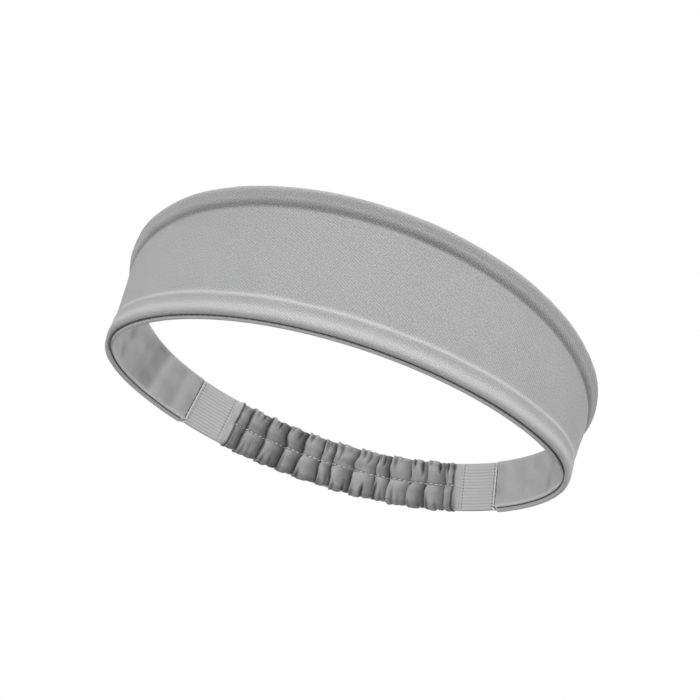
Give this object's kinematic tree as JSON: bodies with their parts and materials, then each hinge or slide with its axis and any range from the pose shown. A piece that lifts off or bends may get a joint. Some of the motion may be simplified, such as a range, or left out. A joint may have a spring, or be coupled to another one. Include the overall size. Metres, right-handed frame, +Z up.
{
  "type": "sports headband",
  "caption": "Tapered fabric sports headband: wide lined front panel, ribbed elastic and a gathered sleeve at the back.",
  "frame": {"origin": "centre of the band's box in plan, on the plane of its lower edge", "axes": "+Z up as worn, -Y towards the forehead, +X towards the wearer's left"},
  "size_m": [0.1766, 0.1822, 0.0424],
  "materials": {
    "jersey": "matte knitted jersey",
    "lining": "smooth, slightly satin knit",
    "wadding": "soft unbleached wadding",
    "elastic": "ribbed woven elastic",
    "sleeve": "matte knitted jersey, gathered",
    "thread": "polyester sewing thread"
  },
  "bodies": {
    "root": {"outer_panel": "jersey", "lining_panel": "lining", "absorbent_core": "wadding", "lower_edge_thread": "thread", "upper_edge_thread": "thread", "rear_elastic": "elastic", "gathered_sleeve": "sleeve", "left_tab_thread": "thread", "right_tab_thread": "thread", "left_sleeve_end_thread": "thread", "right_sleeve_end_thread": "thread", "sleeve_centre_thread": "thread"}
  },
  "joints": []
}
